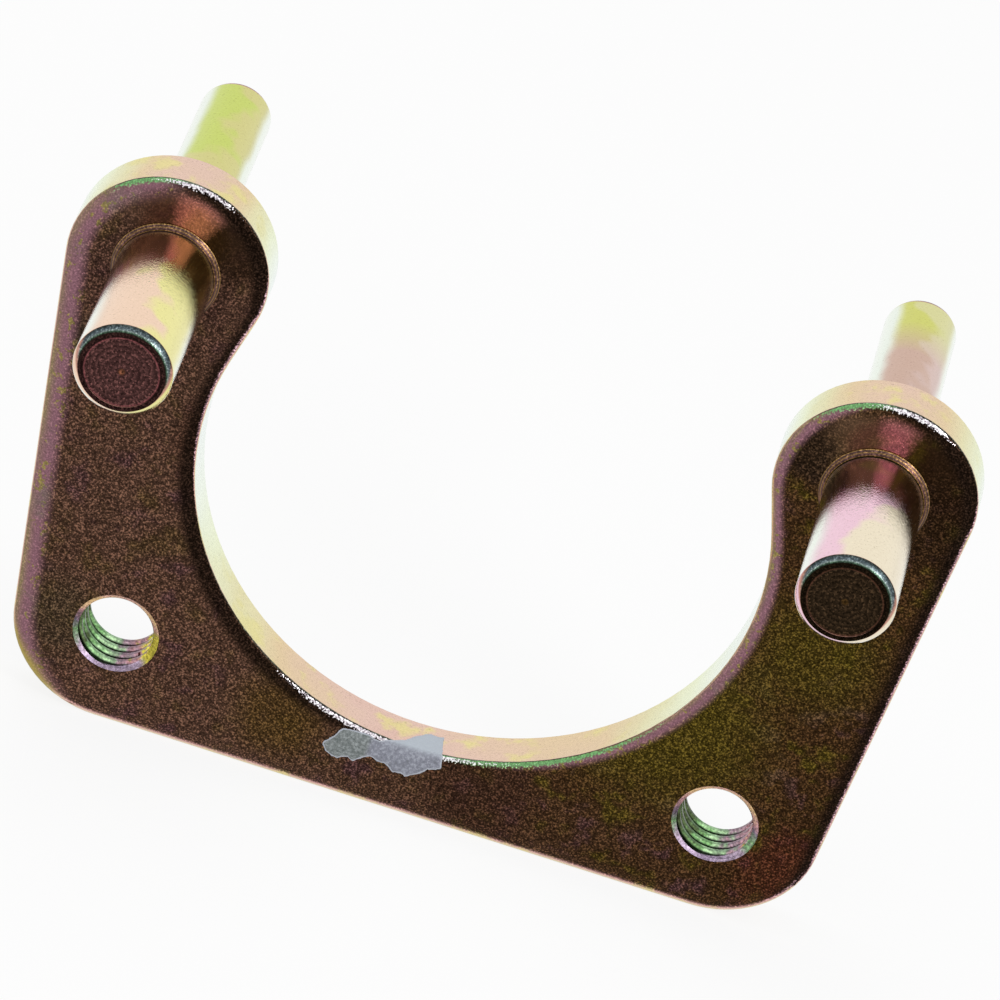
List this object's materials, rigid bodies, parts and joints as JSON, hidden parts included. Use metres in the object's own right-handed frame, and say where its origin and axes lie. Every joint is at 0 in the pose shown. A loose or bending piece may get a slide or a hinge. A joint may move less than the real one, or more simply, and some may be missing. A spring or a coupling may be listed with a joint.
{
  "type": "brake caliper bracket",
  "caption": "U-shaped steel caliper bracket with stepped guide pins pressed through its rounded ears and tapped holes in its lower corners.",
  "frame": {"origin": "midway between the two tapped holes, halfway through the plate", "axes": "+Z from the tapped holes up to the guide pins, +Y through the plate from its front face to its back face, +X to the right seen from the front"},
  "size_m": [0.1062, 0.0636, 0.0711],
  "materials": {
    "plated_plate": "yellow zinc chromate over blasted steel",
    "plated_pins": "yellow zinc chromate over turned steel"
  },
  "bodies": {
    "root": {"bracket_plate": "plated_plate", "guide_pin_left": "plated_pins", "guide_pin_right": "plated_pins"}
  },
  "joints": []
}
